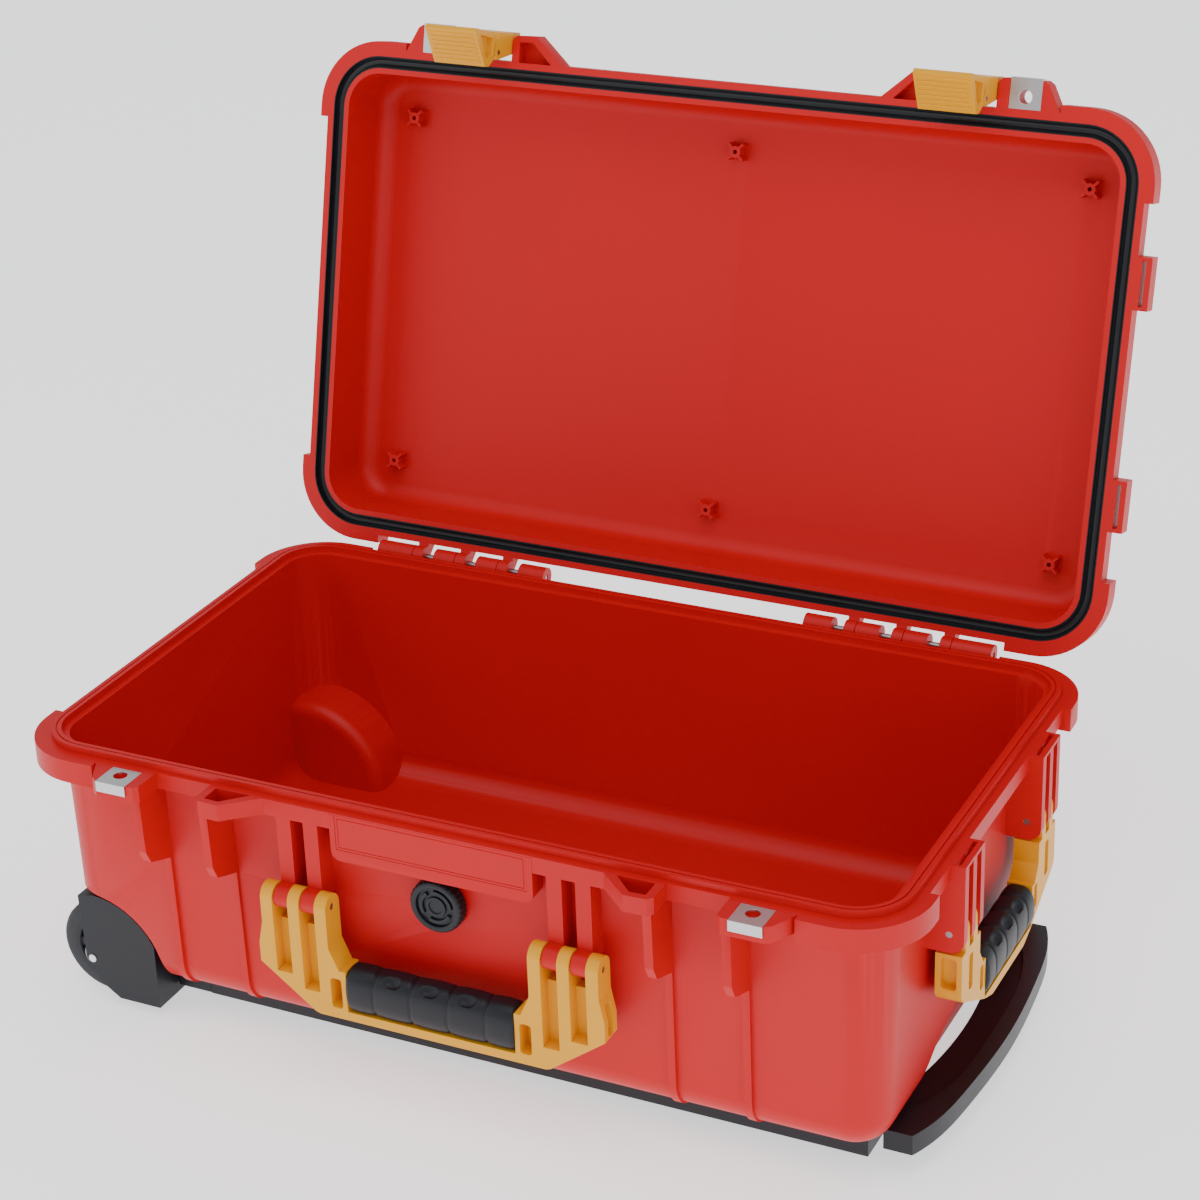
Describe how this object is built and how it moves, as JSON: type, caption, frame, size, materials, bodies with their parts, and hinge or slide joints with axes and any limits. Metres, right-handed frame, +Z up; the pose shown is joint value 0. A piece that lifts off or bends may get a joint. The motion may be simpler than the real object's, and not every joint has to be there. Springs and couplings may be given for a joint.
{
  "type": "rolling hard case",
  "caption": "Red hard-shell rolling carry-on case standing open and empty, with yellow fold-down handles and latches, black wheels and a telescoping pull handle.",
  "frame": {"origin": "on the ground, under the centre of the tub", "axes": "+X towards the end with the pull handle, -Y towards the latch side, +Z up"},
  "size_m": [0.5495, 0.4548, 0.5123],
  "materials": {
    "shell_red": "moulded, satin with a soft sheen",
    "handle_yellow": "moulded, satin",
    "grip_rubber": "soft overmould, matte",
    "seal_rubber": "matte",
    "trim_black": "moulded, fine grain",
    "plate_steel": "satin stainless",
    "pin_steel": "turned",
    "tyre_rubber": "matte polyurethane",
    "tube_aluminium": "anodised",
    "bearing_plastic": "moulded"
  },
  "bodies": {
    "case": {"base_ear_left": "shell_red", "base_ear_right": "shell_red", "base_shell": "shell_red", "front_handle_pin_left": "pin_steel", "front_handle_pin_right": "pin_steel", "hinge_pin_left": "pin_steel", "hinge_pin_right": "pin_steel", "label_plate": "shell_red", "outer_tube_back": "tube_aluminium", "outer_tube_front": "tube_aluminium", "padlock_plate_base_left": "plate_steel", "padlock_plate_base_right": "plate_steel", "side_handle_pin_back": "pin_steel", "side_handle_pin_front": "pin_steel", "tray_screws": "pin_steel", "undercarriage_frame": "trim_black", "undercarriage_tray": "trim_black", "valve_body": "trim_black", "valve_nut": "trim_black", "valve_seal": "seal_rubber", "wheel_back_axle": "pin_steel", "wheel_back_housing": "trim_black", "wheel_back_spacers": "bearing_plastic", "wheel_front_axle": "pin_steel", "wheel_front_housing": "trim_black", "wheel_front_spacers": "bearing_plastic"},
    "lid": {"lid_shell": "shell_red", "lid_seal": "seal_rubber", "padlock_plate_lid_left": "plate_steel", "padlock_plate_lid_right": "plate_steel", "latch_left_pin": "pin_steel", "latch_right_pin": "pin_steel"},
    "latch_left": {"latch_left_hook": "handle_yellow", "latch_left_lever_pin": "pin_steel"},
    "latch_right": {"latch_right_hook": "handle_yellow", "latch_right_lever_pin": "pin_steel"},
    "lever_left": {"latch_left_lever": "handle_yellow"},
    "lever_right": {"latch_right_lever": "handle_yellow"},
    "front_handle": {"front_handle": "handle_yellow", "front_handle_grip": "grip_rubber"},
    "side_handle": {"side_handle": "handle_yellow", "side_handle_grip": "grip_rubber"},
    "wheel_front": {"wheel_front_tyre": "tyre_rubber", "wheel_front_hub": "trim_black", "wheel_front_bushing": "bearing_plastic"},
    "wheel_back": {"wheel_back_tyre": "tyre_rubber", "wheel_back_hub": "trim_black", "wheel_back_bushing": "bearing_plastic"},
    "pull_handle": {"pull_handle": "trim_black", "inner_tube_front": "tube_aluminium", "inner_tube_back": "tube_aluminium"},
    "pull_trigger": {"pull_handle_trigger": "grip_rubber"}
  },
  "joints": [
    {"name": "lid_hinge", "type": "hinge", "parent": "case", "child": "lid", "pos_m": [0, 0.1627, 0.17426], "axis": [1, 0, 0], "range_deg": [0, 104]},
    {"name": "front_handle_pivot", "type": "hinge", "parent": "case", "child": "front_handle", "pos_m": [0, -0.158, 0.119], "axis": [-1, 0, 0], "range_deg": [0, 100]},
    {"name": "side_handle_pivot", "type": "hinge", "parent": "case", "child": "side_handle", "pos_m": [0.266, 0, 0.134], "axis": [0, -1, 0], "range_deg": [0, 100]},
    {"name": "pull_handle_slide", "type": "slide", "parent": "case", "child": "pull_handle", "axis": [1, 0, 0], "range_m": [0, 0.33]},
    {"name": "trigger_press", "type": "slide", "parent": "pull_handle", "child": "pull_trigger", "axis": [0, 0, 1], "range_m": [0, 0.0025], "stiffness_N_per_m": 250, "springref_m": -0.002},
    {"name": "wheel_front_spin", "type": "hinge", "parent": "case", "child": "wheel_front", "pos_m": [-0.2435, -0.1175, 0.0304], "axis": [0, 1, 0], "continuous": true},
    {"name": "wheel_back_spin", "type": "hinge", "parent": "case", "child": "wheel_back", "pos_m": [-0.2435, 0.1175, 0.0304], "axis": [0, 1, 0], "continuous": true},
    {"name": "latch_left_swing", "type": "hinge", "parent": "lid", "child": "latch_left", "pos_m": [-0.1559, 0.24983, 0.48924], "axis": [-1, 0, 0], "range_deg": [0, 100]},
    {"name": "lever_left_flip", "type": "hinge", "parent": "latch_left", "child": "lever_left", "pos_m": [-0.1559, 0.22645, 0.49095], "axis": [-1, 0, 0], "range_deg": [0, 20]},
    {"name": "latch_right_swing", "type": "hinge", "parent": "lid", "child": "latch_right", "pos_m": [0.1559, 0.24983, 0.48924], "axis": [-1, 0, 0], "range_deg": [0, 100]},
    {"name": "lever_right_flip", "type": "hinge", "parent": "latch_right", "child": "lever_right", "pos_m": [0.1559, 0.22645, 0.49095], "axis": [-1, 0, 0], "range_deg": [0, 20]}
  ]
}
